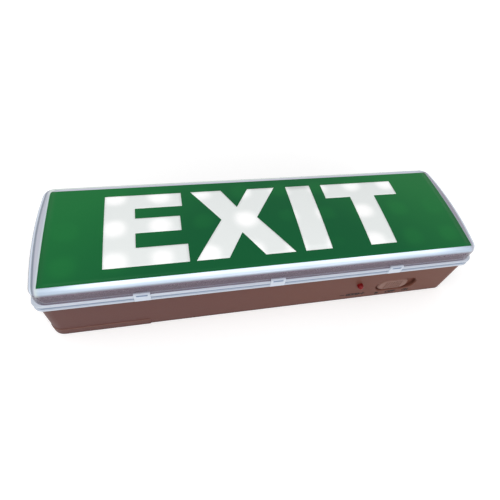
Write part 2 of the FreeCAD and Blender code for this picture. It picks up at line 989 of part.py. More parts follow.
def charge_indicator():
    """Round indicator lamp with a flange behind the wall and a domed end outside."""
    inside = front_wall_inside + slip_fit
    dome_y = front_face - indicator_reach + indicator_radius
    barrel = rod_y(indicator_radius, indicator_x, indicator_z, dome_y, inside + indicator_flange_thickness)
    tip = Part.makeSphere(indicator_radius, vec(indicator_x, dome_y, indicator_z))
    flange = rod_y(indicator_flange, indicator_x, indicator_z, inside, inside + indicator_flange_thickness)
    return union([barrel, tip, flange])


def indicator_leads():
    """Two square leads from the indicator through the front board."""
    start = front_wall_inside + slip_fit + indicator_flange_thickness
    end = switch_back + board_thickness + 1
    half = lead_size / 2
    return [block(x - half, x + half, start, end, z - half, z + half) for x, z, _ in lead_places()]


# ------------------------------------------------------------------ export
def strip_places():
    names = ("led_strip_lower", "led_strip_middle", "led_strip_upper")
    return zip(names, led_places()[1])


def nodes():
    """Every piece by name; a list is a group of separate solids."""
    pieces = {
        "housing": housing(),
        "upstand": upstand(),
        "cable_grommet": cable_grommet(),
        "gasket": gasket(),
        "cover": cover(),
        "diffuser_panel": diffuser_panel(),
        "legend_film": legend_film(),
        "led_pan": led_pan(),
        "pan_screws": pan_screws(),
        "led_chips": led_chips(),
        "battery_pack": battery_sleeve(0),
        "control_board": control_board(),
        "transformer_core": transformer_core(),
        "transformer_coil": transformer_coil(),
        "capacitors": capacitors(),
        "film_capacitor": film_capacitor(),
        "mains_choke": mains_choke(),
        "driver_chip": driver_chip(),
        "bridge_rectifier": bridge_rectifier(),
        "fuse": fuse(),
        "terminal_block": terminal_block(),
        "terminal_tabs": terminal_tabs(),
        "battery_plug": battery_plug(),
        "front_board": front_board(),
        "slide_switch": slide_switch(),
        "switch_lever": switch_lever(),
        "switch_knob": switch_knob(),
        "charge_indicator": charge_indicator(),
        "indicator_leads": indicator_leads(),
    }
    pieces.update({name: led_strip(y) for name, y in strip_places()})
    return pieces


def main():
    os.makedirs("parts", exist_ok=True)
    for name, shape in nodes().items():
        if isinstance(shape, list):
            shape = Part.makeCompound(shape)
        shape.exportStep(f"parts/{name}.step")


main()
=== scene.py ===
"""Dresses the emergency exit light: clear cover, lit legend, moulded housing, lamp and stage.

Lengths are metres in the part's own frame: the origin is the centre of the back face, +X runs in
reading direction, +Y points to the top of the legend and +Z points at the reader.
"""

import math

import bmesh
import bpy
import numpy as np
from bpy.props import FloatProperty, FloatVectorProperty, PointerProperty
from bpy.types import Operator, Panel, PropertyGroup
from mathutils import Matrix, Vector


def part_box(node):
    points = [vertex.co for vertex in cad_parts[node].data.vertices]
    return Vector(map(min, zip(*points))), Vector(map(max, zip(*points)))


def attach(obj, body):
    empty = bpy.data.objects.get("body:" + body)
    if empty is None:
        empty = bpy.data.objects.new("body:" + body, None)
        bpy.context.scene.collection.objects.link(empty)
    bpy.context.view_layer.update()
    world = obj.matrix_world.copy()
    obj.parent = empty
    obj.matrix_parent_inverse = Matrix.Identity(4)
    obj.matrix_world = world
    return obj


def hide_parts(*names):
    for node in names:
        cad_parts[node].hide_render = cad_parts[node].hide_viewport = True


bl_info = {
    "name": "Exit light dressing",
    "version": (1, 0, 0),
    "blender": (4, 5, 0),
    "location": "View3D > Sidebar > Exit light",
    "description": "Builds the cover, legend, lamp and finishes of an emergency exit light",
    "category": "Object",
}

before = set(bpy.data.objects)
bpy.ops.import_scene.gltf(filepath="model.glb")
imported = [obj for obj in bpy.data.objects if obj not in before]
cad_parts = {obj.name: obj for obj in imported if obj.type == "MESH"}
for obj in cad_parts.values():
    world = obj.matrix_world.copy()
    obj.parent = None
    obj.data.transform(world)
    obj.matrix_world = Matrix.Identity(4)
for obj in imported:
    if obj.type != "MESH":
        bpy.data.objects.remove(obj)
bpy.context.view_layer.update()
MM = 0.001
WHITE = (1.0, 1.0, 1.0)
CAPITAL_SHARE = 0.73  # height of a capital letter as a share of the font's size
STROKE_SHARE = 0.1  # how much each stroke is widened, as a share of the letter's height


# ---------- sizes and colours to change
def display(red, green, blue):
    """Linear colour of an 8-bit display colour."""
    shares = (red / 255, green / 255, blue / 255)
    return tuple(c / 12.92 if c <= 0.04045 else ((c + 0.055) / 1.055) ** 2.4 for c in shares)


def length(name, description, millimetres):
    """Property that holds one length."""
    return FloatProperty(
        name=name, description=description, default=millimetres * MM, unit="LENGTH", precision=5
    )


def lengths(name, description, *millimetres):
    """Property that holds several lengths."""
    return FloatVectorProperty(
        name=name,
        description=description,
        default=tuple(value * MM for value in millimetres),
        size=len(millimetres),
        unit="LENGTH",
        precision=5,
    )


def strength(name, description, default, unit="NONE"):
    """Property that holds a brightness or a power."""
    return FloatProperty(name=name, description=description, default=default, min=0.0, unit=unit)


def colour(name, description, red, green, blue):
    """Property that holds a colour, given as an 8-bit display colour."""
    return FloatVectorProperty(
        name=name,
        description=description,
        default=display(red, green, blue),
        subtype="COLOR",
        size=3,
        min=0.0,
        max=1.0,
    )


class CoverSizes(PropertyGroup):
    """Section of the clear cover and the outline it follows."""

    wall: length("Wall", "Thickness of the clear wall", 2.0)
    shoulder: length("Shoulder", "Radius between the side walls and the crown", 5.0)
    crown_rise: length("Crown rise", "How much higher the middle is than the long edges", 2.2)
    corner: length("Corner", "Plan radius of the corners", 9.5)
    bow: length("End bow", "Bulge of each end across its width", 2.65)
    reach: length("Flange reach", "How far the flange stands out of the wall", 1.4)
    flange_corner: length("Flange corner", "Plan radius of the flange's corners", 7.4)
    flange: length("Flange height", "Height of the flange", 6.0)
    groove_low: length("Groove start", "Bottom of the flange to the groove", 1.7)
    groove_height: length("Groove height", "Height of the groove round the flange", 3.0)
    groove_depth: length("Groove depth", "Depth of the groove round the flange", 0.9)
    edge: length("Edge round", "Rounding of the flange's edges", 0.3)
    pad_pitch: length("Pad pitch", "Distance from one clip pad to the next", 100.0)
    pad_width: length("Pad width", "Width of a clip pad", 11.6)
    pad_rise: length("Pad rise", "How far a clip pad stands above the flange", 2.6)
    window_width: length("Window width", "Width of the pad's window", 7.8)
    window_height: length("Window height", "Height of the pad's window", 2.0)
    window_depth: length("Window depth", "Depth of the pad's window", 0.7)


class HousingSizes(PropertyGroup):
    """The side wall that the marks follow, and where the housing's painted highlight, painted shadow and
    painted shade lie.
    """

    reach: length("Rim reach", "Middle of the width to the side wall's rim", 49.3)
    draft: length("Draft", "How far the side wall leans in from its rim to the back", 0.3)
    foot_height: length("Foot height", "Height of the proud band round the left foot", 7.0)
    foot_end: length("Foot end", "Where that band ends along the length", -98.0)
    # Painted highlight: a lighter line in the knob's colour on the top edge of the left foot's band
    foot_highlight: length("Foot line", "Half the width of the light line on the band's edge", 0.25)
    # Painted shadow: the dark back edge is a contact shadow painted along the foot
    foot_shade: length("Foot shade", "Height over which the dark back edge fades out", 2.6)
    eaves: lengths("Flange shade", "Heights between which the flange's shade sets in", 36.5, 40.5)


class MarkSizes(PropertyGroup):
    """Left, right, bottom and top of each mark on the side wall, and how far they stand off it."""

    battery: lengths("Battery sign", "Area of the battery sign", 63.6, 87.6, 5.4, 9.2)
    position: lengths("Dot", "Area of the dot", 98.4, 101.6, 3.0, 6.2)
    off: lengths("OFF", "Area of the word", 108.4, 118.6, 3.0, 6.4)
    on: lengths("ON", "Area of the word", 125.4, 131.8, 3.2, 6.6)
    lift: length("Lift", "How far the marks stand off the wall", 0.04)


class LampSizes(PropertyGroup):
    """The indicator's barrel and collar."""

    collar: length("Collar", "Thickness of the collar", 1.0)
    barrel: FloatProperty(
        name="Barrel",
        description="Radius of the barrel and its round end, as a share of the collar's",
        default=2.5 / 2.9,
        subtype="FACTOR",
    )


class LegendSizes(PropertyGroup):
    """Film and letters."""

    film: length("Film", "Thickness of the legend film", 0.3)
    corner: length("Film corner", "Radius of the film's upper corners", 5.0)
    margin: length("Film margin", "Unprinted margin along the film's upper edge", 2.1)
    letter: length("Letter layer", "Thickness of the white letter layer", 0.12)
    letter_top: length("Letter top", "Top of the letters above the middle", 32.9)
    letter_bottom: length("Letter bottom", "Bottom of the letters below the middle", -35.0)
    margin_edge: length("Margin edge", "Softness of the edge between print and margin", 0.4)


class ToneAndLightPlaces(PropertyGroup):
    """Where tones and painted light and shade of the cover and the film change, mostly as distances from
    the middle.
    """

    # The tint named below is painted light and shade on the clear cover's ends and far side
    ends: lengths("Ends", "Where the tint of both ends starts and is full", 162, 168)
    far_side: lengths("Far side", "Where the tint of the far side starts and is full", 30, 45)
    right_end: lengths("Right end", "Where the left end's tones give way to the right's", 100, 150)
    glow: lengths("Glow", "Where the glow in the shoulder starts to fade and is gone", 125, 168)
    green: lengths("Green", "Where the film starts to turn lighter and stops", 20, 170)
    side_shift: length("Side shift", "How much further in the far side's tint lies", 0.8)
    film_line: lengths("Film line", "Start and end past the film of the line beside it", 0.5, 1.6)


class Finishes(PropertyGroup):
    """Colours of the visible pieces, some with painted light and shade, and how bright the lit ones are.
    """

    housing: colour("Housing", "Moulded housing, towards the left end", 99, 64, 60)
    housing_warm: colour("Housing, warm", "Moulded housing, towards the right end", 106, 65, 53)
    # Painted shadow along the back edge and painted shade under the flange
    housing_painted_shade: colour("Housing edge", "Back edge and the shade under the flange", 58, 30, 31)
    knob: colour("Knob", "Selector knob", 132, 98, 88)
    green: colour("Legend green", "Printed film in the middle", 14, 88, 49)
    green_end: colour("Legend green, ends", "Printed film at both ends", 26, 110, 55)
    letters: colour("Letters", "White of the letters", 236, 240, 239)
    lip: colour("Flange lips", "Light caught by the two lips of the flange", 210, 219, 232)
    groove: colour("Groove", "Groove between the lips", 150, 165, 190)
    # Partly the clear side wall's own haze and partly painted shade: the colour is darkened to the
    # wall's shaded look
    haze: colour("Clear wall", "Tint of the clear side wall", 129, 115, 131)
    shoulder: colour("Shoulder", "Light in the round shoulder", 192, 210, 230)
    glow: colour("Glow", "Light that leaves through the shoulder", 238, 244, 250)
    fade: colour("Shoulder foot", "Clear plastic where the shoulder meets the wall", 150, 156, 170)
    # Painted shade along the edge where the cover turns away
    rim: colour("Rim", "Dark line where the cover turns away", 104, 102, 124)
    end_light: colour("Ends, light", "Light caught by the ends of the cover", 208, 220, 238)
    # Painted shade: a dark line in the ends of the cover
    end_shade_line: colour("Ends, dark", "Dark line in the ends of the cover", 134, 144, 160)
    end_grey: colour("Left end", "Clear plastic between that line and the film", 200, 202, 216)
    # Painted shade: the right end is kept darker than the left
    end_right: colour("Right end", "Clear plastic at the right end", 154, 147, 162)
    film_line: colour("Line beside the film", "Light that leaves beside the film", 226, 238, 234)
    lamp: colour("Lamp red", "Charge indicator", 116, 12, 16)
    marks: colour("Marks", "Marks on the side wall", 22, 8, 8)
    film_light: strength("Film light", "Light of the green film", 0.05)
    letter_light: strength("Letter light", "Light of the letters over the LEDs", 0.14)
    lamp_light: strength("Lamp light", "Light of the charge indicator", 0.02)
    led_light: strength("LED light", "Light of the LEDs", 0.6)


class StageSettings(PropertyGroup):
    """Floor, lamps and camera."""

    key: strength("Key lamp", "Power of the large soft lamp", 3.2, "POWER")
    key_place: lengths("Key place", "Where the large soft lamp hangs", -350, -250, 950)
    key_size: length("Key size", "Side of the large soft lamp", 700)
    fill: strength("Fill lamp", "Power of the front lamp", 2.4, "POWER")
    fill_place: lengths("Fill place", "Where the front lamp stands", 250, -900, 350)
    fill_size: length("Fill size", "Side of the front lamp", 500)
    aim: length("Aim", "Height that the lamps face", 30)
    ambient: strength("Ambient", "Strength of the even light all round", 0.6)
    floor: length("Floor", "Half of the floor's side", 3000)
    floor_near: strength("Floor, near", "Brightness of the floor beside the object", 0.36)
    floor_start: length("Floor, start", "Distance at which the floor starts to turn white", 100)
    floor_end: length("Floor, end", "Distance past which the floor is white", 700)
    lens: FloatProperty(
        name="Lens", description="Focal length", default=26.977 * MM, unit="CAMERA", precision=5
    )
    place: lengths("Camera place", "Where the camera stands", -75.9, -186.9, 286.4)
    turn: FloatVectorProperty(
        name="Camera turn",
        description="Euler angles of the camera",
        default=tuple(math.radians(a) for a in (36.1427, -6.4550, -10.9066)),
        subtype="EULER",
        unit="ROTATION",
        size=3,
    )


# ---------- places read from the frame
def extent(node):
    """Lowest and highest corner of a CAD node, as arrays."""
    low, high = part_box(node)
    return np.array(low), np.array(high)


COVER_LOW, COVER_HIGH = extent("cover")
FILM_HIGH = extent("legend_film")[1]
LAMP_LOW, LAMP_HIGH = extent("charge_indicator")
CHIPS_LOW, CHIPS_HIGH = extent("led_chips")
CHIP_COLUMNS, CHIP_ROWS = 10, 3
HOUSING_RIM = extent("upstand")[0][2]  # height of the side wall's rim


# ---------- surfaces
def show(name, data):
    """New object for a mesh, a lamp or a camera, linked to the scene."""
    piece = bpy.data.objects.new(name, data)
    bpy.context.scene.collection.objects.link(piece)
    return piece


def grid_faces(rows, columns, wrap=False):
    """Quads between the neighbours of a grid; wrap joins the last column to the first."""
    across = np.arange(columns if wrap else columns - 1)
    down = np.arange(rows - 1)[:, None] * columns
    after = (across + 1) % columns
    corners = [down + across, down + after, down + columns + after, down + columns + across]
    return np.stack(corners, axis=-1).reshape(-1, 4)


def skin(name, points, body, wrap=False):
    """Mesh object from a grid of points."""
    return plant(name, points.reshape(-1, 3), grid_faces(*points.shape[:2], wrap), body)


def plant(name, points, faces, body, merge=1e-6):
    """Mesh object from points and faces that rides on a body, welded and turned outwards."""
    mesh = bpy.data.meshes.new(name)
    mesh.from_pydata(points.tolist(), [], faces.tolist())
    shape = bmesh.new()
    shape.from_mesh(mesh)
    bmesh.ops.remove_doubles(shape, verts=shape.verts, dist=merge)
    bmesh.ops.recalc_face_normals(shape, faces=shape.faces)
    shape.to_mesh(mesh)
    shape.free()
    mesh.update()
    piece = show(name, mesh)
    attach(piece, body)
    return piece


def smooth(piece, degrees=40.0):
    """Smooth shading up to an angle between faces."""
    mesh = piece.data
    mesh.shade_smooth()
    mesh.set_sharp_from_angle(angle=math.radians(degrees))


def case_outline(sizes, inset, corner):
    """Points round the case at each inset: straight sides, corner arcs and bowed ends.

    One quarter runs along the side, round the corner arc and along the bow's arc; the other three
    are its mirror images. Returns x and y, each with one row per inset."""
    half_length = COVER_HIGH[0] - sizes.reach
    half_width = COVER_HIGH[1] - sizes.reach
    bow_radius = (half_width**2 + sizes.bow**2) / (2 * sizes.bow)
    inset, corner = np.atleast_1d(inset)[:, None], np.atleast_1d(corner)[:, None]
    bow = bow_radius - inset
    middle = half_length - bow_radius
    corner_y = half_width - inset - corner
    corner_x = middle + np.sqrt((bow - corner) ** 2 - corner_y**2)
    meet = np.arctan2(corner_y, corner_x - middle)
    side_steps, corner_steps, bow_steps = 25, 13, 17
    along = np.linspace(0, 1, side_steps)[None, :-1]
    round_corner = np.pi / 2 + np.linspace(0, 1, corner_steps)[None, :-1] * (meet - np.pi / 2)
    round_bow = meet * np.linspace(1, 0, bow_steps)[None, :]
    side_y = np.repeat(corner_y + corner, along.shape[1], axis=1)
    arcs_x = [corner_x + corner * np.cos(round_corner), middle + bow * np.cos(round_bow)]
    arcs_y = [corner_y + corner * np.sin(round_corner), bow * np.sin(round_bow)]
    x = np.hstack([along * corner_x, *arcs_x])
    y = np.hstack([side_y, *arcs_y])
    x = np.hstack([x, x[:, -2::-1], -x[:, 1:], -x[:, -2:0:-1]])
    y = np.hstack([y, -y[:, -2::-1], -y[:, 1:], y[:, -2:0:-1]])
    return x, y


def crown_height(sizes, y, below=0.0):
    """Height of the crown over y: an arc of a circle across the width, lowered by below."""
    run = COVER_HIGH[1] - sizes.reach
    radius = (run**2 + sizes.crown_rise**2) / (2 * sizes.crown_rise)
    return COVER_HIGH[2] - radius + np.sqrt((radius - below) ** 2 - y**2)


def cover_side(sizes, inset, radius, below, steps=14):
    """Rows from the crown's middle line outwards and down the shoulder, at one depth in the wall.

    The crown's rows slide from the middle line to the shoulder's edge; the shoulder is a quarter
    circle in section whose height follows the crown."""
    sharpest = 0.5 * MM  # smallest plan corner, so that a row never folds over
    x, y = case_outline(sizes, inset + radius, max(sizes.corner - inset - radius, sharpest))
    spine = np.clip(x, -COVER_HIGH[0] + COVER_HIGH[1], COVER_HIGH[0] - COVER_HIGH[1])
    share = np.linspace(0, 1, steps)[:, None]
    crown_x, crown_y = spine + share * (x - spine), share * y
    rows = [np.stack([crown_x, crown_y, crown_height(sizes, crown_y, below)], axis=-1)]
    angle = np.linspace(90, 0, 9)[1:] * math.pi / 180
    insets = inset + radius * (1 - np.cos(angle))
    corners = np.maximum(sizes.corner - insets, sharpest)
    x_shoulder, y_shoulder = case_outline(sizes, insets, corners)
    drop = radius * (1 - np.sin(angle))[:, None]
    rows.append(np.stack([x_shoulder, y_shoulder, crown_height(sizes, y, below) - drop], axis=-1))
    return np.vstack(rows)


def rounded_section(corners, radius):
    """Section line with each inner corner replaced by a small curve of three points."""
    points = np.array(corners, dtype=float)
    before, here, after = points[:-2], points[1:-1], points[2:]
    back = (before - here) / np.linalg.norm(before - here, axis=1)[:, None]
    ahead = (after - here) / np.linalg.norm(after - here, axis=1)[:, None]
    start, end = here + radius * back, here + radius * ahead
    inward = 0.293  # share of the radius from the corner to the middle of a quarter circle
    middle = here + inward * radius * (back + ahead)
    turned = np.stack([start, middle, end], axis=1).reshape(-1, points.shape[1])
    return np.vstack([points[:1], turned, points[-1:]])


def flange_section(sizes):
    """Inset, height and plan corner of the flange's section, from the wall's foot up and over the
    two lips and the groove between them, as corners joined by straight lines."""
    low, top = COVER_LOW[2], COVER_LOW[2] + sizes.flange
    groove = low + sizes.groove_low
    groove_top = groove + sizes.groove_height
    out, deep = -sizes.reach, sizes.groove_depth - sizes.reach
    outer = sizes.flange_corner
    inner = outer - sizes.groove_depth
    corners = [
        (sizes.wall, low, sizes.corner - sizes.wall),
        (out, low, outer),
        (out, groove, outer),
        (deep, groove, inner),
        (deep, groove_top, inner),
        (out, groove_top, outer),
        (out, top, outer),
        (0.0, top, sizes.corner),
        (0.0, top + 1.5 * sizes.edge, sizes.corner),
    ]
    return rounded_section(corners, sizes.edge)


def cover_shell(sizes):
    """The clear cover as one closed shell: the inner crown, shoulder and wall, then the flange's
    section and the outer wall, shoulder and crown, each row carried round the case outline."""
    inside = cover_side(sizes, sizes.wall, sizes.shoulder - sizes.wall, sizes.wall)
    outside = cover_side(sizes, 0.0, sizes.shoulder, 0.0)[::-1]
    section = flange_section(sizes)
    x, y = case_outline(sizes, section[:, 0], section[:, 2])
    flange = np.stack([x, y, np.broadcast_to(section[:, 1:2], x.shape)], axis=-1)
    return skin("clear_cover", np.vstack([inside, flange, outside]), "cover_assembly", wrap=True)


def clip_pads(sizes):
    """The raised pads over the clips, three on each long side: a block with a shallow window.

    One pad's points are the two rings of its front, outer and window, each repeated at its back;
    the pads are that pad moved along X and mirrored across the width."""
    proud = 0.05 * MM  # keeps the pads' faces clear of the flange's
    front, back = -COVER_HIGH[1] - proud, -COVER_HIGH[1] + sizes.reach + sizes.wall / 2
    low, high = COVER_LOW[2] + proud, COVER_LOW[2] + sizes.flange + sizes.pad_rise
    half, window = sizes.pad_width / 2, sizes.window_width / 2
    top = high - (sizes.pad_rise - sizes.window_height) / 2 - 2 * proud
    deep = front + sizes.window_depth
    corners = np.array([[-1, 0], [1, 0], [1, 1], [-1, 1]], dtype=float)

    def ring(reach, bottom, upper, y):
        x, z = corners[:, 0] * reach, bottom + corners[:, 1] * (upper - bottom)
        return np.stack([x, np.full(4, y), z], axis=-1)

    sill = top - sizes.window_height
    outer = [ring(half, low, high, back), ring(half, low, high, front)]
    pad = np.vstack([*outer, ring(window, sill, top, front), ring(window, sill, top, deep)])
    side = np.arange(4)
    after = (side + 1) % 4
    bands = [np.stack([side + r, after + r, after + r + 4, side + r + 4], axis=-1) for r in (0, 4, 8)]
    faces = np.vstack([*bands, [[3, 2, 1, 0]], [[12, 13, 14, 15]]])
    places = np.array([-1, 0, 1]) * sizes.pad_pitch
    row = pad[None, :, :] + places[:, None, None] * np.array([1.0, 0.0, 0.0])
    points = np.stack([row, row * np.array([1.0, -1.0, 1.0])]).reshape(-1, 3)
    every = (np.arange(6)[:, None, None] * 16 + faces).reshape(-1, 4)
    pads = plant("clip_pads", points, every, "cover_assembly", merge=1e-7)
    pads.data.polygons.foreach_set("material_index", np.tile([0] * 8 + [1] * 4 + [0, 1], 6))
    rounding = pads.modifiers.new("edges", "BEVEL")
    rounding.width = sizes.edge / 2
    rounding.segments = 2
    return pads


def legend_sheet(sizes, cover):
    """The film: a grid over the crown whose rows shorten towards the two upper corners, as the
    chord of a quarter circle does."""
    half_length, half_width = FILM_HIGH[0], FILM_HIGH[1]
    straight = half_width - sizes.corner
    turn = np.linspace(0, math.pi / 2, 9)[1:]
    y = np.concatenate([np.linspace(-half_width, straight, 29), straight + sizes.corner * np.sin(turn)])
    into = np.clip((y - straight) / sizes.corner, 0, 1)
    reach = half_length - sizes.corner * (1 - np.sqrt(1 - into**2))
    x = reach[:, None] * np.linspace(-1, 1, 61)[None, :]
    y = np.broadcast_to(y[:, None], x.shape)
    z = crown_height(cover, y) + (FILM_HIGH[2] - COVER_HIGH[2])
    film = skin("green_film", np.stack([x, y, z], axis=-1), "cover_assembly")
    thicken(film, sizes.film)
    return film


def thicken(piece, thickness):
    """Gives a sheet its thickness downwards, so that it is a closed body."""
    solid = piece.modifiers.new("thickness", "SOLIDIFY")
    solid.thickness = thickness
    solid.offset = -1.0


def patch(corners, steps=13):
    """Flat patch between four corners, as a grid: the two long sides slide into each other."""
    a, b, c, d = (np.array(p, dtype=float) for p in corners)
    u = np.linspace(0, 1, steps)[None, :, None]
    v = np.linspace(0, 1, steps)[:, None, None]
    return (1 - v) * ((1 - u) * a + u * b) + v * ((1 - u) * d + u * c)


def patches(name, quads, place, body):
    """One welded sheet of several patches; place puts an array of flat points in space."""
    grids = np.stack([patch(corners) for corners in quads])
    count, rows, columns = grids.shape[:3]
    starts = np.arange(count)[:, None, None] * rows * columns
    faces = (starts + grid_faces(rows, columns)).reshape(-1, 4)
    return plant(name, place(grids.reshape(-1, 2)), faces, body)


def bar(left, right, bottom, top):
    """Corners of an upright rectangle."""
    return [(left, bottom), (right, bottom), (right, top), (left, top)]


def letter_quads(sizes):
    """The strokes of the four letters in millimetres, each a quad that meets its neighbours."""
    top, bottom = sizes.letter_top / MM, sizes.letter_bottom / MM
    stem = -101.8
    edges = [bottom, -19.6, -6.4, 7.8, 18.2, top]
    e = [bar(-124.2, stem, low, high) for low, high in zip(edges, edges[1:])]
    e += [bar(stem, -64.6, *edges[:2]), bar(stem, -68.2, *edges[2:4]), bar(stem, -65.8, *edges[4:])]
    north, east, south, west = (-22.5, 13.0), (-8.3, 0.75), (-22.5, -13.0), (-36.8, 0.75)
    x = [
        [west, south, east, north],
        [west, north, (-33.0, top), (-57.8, top)],
        [north, east, (13.0, top), (-10.3, top)],
        [(-8.3, bottom), (15.2, bottom), east, south],
        [(-59.8, bottom), (-35.9, bottom), south, west],
    ]
    i = [bar(23.3, 44.9, bottom, top)]
    t = [
        bar(55.4, 77.8, 16.3, top),
        bar(77.8, 100.2, 16.3, top),
        bar(100.2, 122.3, 16.3, top),
        bar(77.8, 100.2, bottom, 16.3),
    ]
    return e + x + i + t


def letters(sizes, cover):
    """The word as a thin white layer that follows the film's curve."""

    def place(flat):
        x, y = flat[:, 0] * MM, flat[:, 1] * MM
        z = crown_height(cover, y) + (FILM_HIGH[2] - COVER_HIGH[2]) + sizes.letter
        return np.stack([x, y, z], axis=-1)

    word = patches("exit_letters", letter_quads(sizes), place, "cover_assembly")
    thicken(word, sizes.letter)
    return word


def lamp_lens(sizes):
    """The indicator: a profile turned about its own axis, collar, barrel and round end."""
    centre_x, centre_z = (LAMP_LOW[0] + LAMP_HIGH[0]) / 2, (LAMP_LOW[2] + LAMP_HIGH[2]) / 2
    collar = (LAMP_HIGH[0] - LAMP_LOW[0]) / 2
    radius = collar * sizes.barrel
    back, tip = LAMP_HIGH[1], LAMP_LOW[1]
    ledge = back - sizes.collar
    angle = np.linspace(0, math.pi / 2, 13)
    reach = np.concatenate([[0, collar, collar, radius], radius * np.cos(angle)])
    depth = np.concatenate([[back, back, ledge, ledge], tip + radius * (1 - np.sin(angle))])
    turn = np.linspace(0, 2 * math.pi, 48, endpoint=False)
    x = centre_x + reach[:, None] * np.cos(turn)
    z = centre_z + reach[:, None] * np.sin(turn)
    y = np.broadcast_to(depth[:, None], x.shape)
    return skin("red_lamp", np.stack([x, y, z], axis=-1), "base", wrap=True)


def upright(flat, housing, lift):
    """Points drawn to the right and up, put on the side wall and moved off it by a small lift. The
    wall lies at its reach at the rim, and leans in by its draft over its height."""
    x, z = flat[:, 0], flat[:, 1]
    wall = -housing.reach + housing.draft * (1 - z / HOUSING_RIM)
    return np.stack([x, wall - lift, z], axis=-1)


def battery_mark(left, right, bottom, top):
    """Battery sign as bars: a frame, a nub, three cells inside, and a minus and a plus beside it.

    Every bar is a share of the line's thickness, of a third of the width or of a cell's pitch."""
    line = (top - bottom) / 3.8
    middle, third = (bottom + top) / 2, (right - left) / 3
    a, b = left + third * 0.75, right - third * 0.75
    frame_bars = [
        bar(a, b, bottom, bottom + line),
        bar(a, b, top - line, top),
        bar(a, a + line, bottom + line, top - line),
        bar(b - line, b, bottom + line, top - line),
        bar(b, b + line * 1.3, middle - line, middle + line),
    ]
    pitch = (b - a - 2 * line) / 3
    cells = [a + line + pitch * (n + 0.2) for n in range(3)]
    filled = [bar(x, x + pitch * 0.7, bottom + 1.2 * line, top - 1.2 * line) for x in cells]
    sign, arm = third * 0.28, line / 2
    cross = right - sign
    minus = [bar(left, left + 2 * sign, middle - arm, middle + arm)]
    plus = [
        bar(cross - sign, cross - arm, middle - arm, middle + arm),
        bar(cross - arm, cross + arm, middle - sign, middle + sign),
        bar(cross + arm, right, middle - arm, middle + arm),
    ]
    return frame_bars + filled + minus + plus


def word_mark(name, text, area, place):
    """A short word on the side wall: letters made a flat mesh, spread over the area's width, then
    stood up on the wall."""
    left, right, bottom, top = area
    height = top - bottom
    curve = bpy.data.curves.new(name, "FONT")
    curve.body = text
    curve.size = height / CAPITAL_SHARE / MM
    curve.offset = STROKE_SHARE * height / MM
    source = show(name, curve)
    shape = bpy.data.meshes.new_from_object(source)
    bpy.data.objects.remove(source)
    bpy.data.curves.remove(curve)
    flat = np.empty(len(shape.vertices) * 3)
    shape.vertices.foreach_get("co", flat)
    flat = flat.reshape(-1, 3)[:, :2] * MM
    start, stop = flat[:, 0].min(), flat[:, 0].max()
    flat[:, 0] = left + (flat[:, 0] - start) * (right - left) / (stop - start)
    flat[:, 1] += bottom
    shape.vertices.foreach_set("co", place(flat).ravel())
    shape.name = name
    shape.update()
    piece = show(name, shape)
    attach(piece, "base")
    return piece


def wall_marks(sizes, housing):
    """Dark marks under the lamp and under the selector: a battery sign, a dot, OFF and ON."""

    def place(flat):
        return upright(flat, housing, sizes.lift)

    return [
        patches("battery_mark", battery_mark(*sizes.battery), place, "base"),
        patches("position_mark", [bar(*sizes.position)], place, "base"),
        word_mark("off_mark", "OFF", sizes.off, place),
        word_mark("on_mark", "ON", sizes.on, place),
    ]


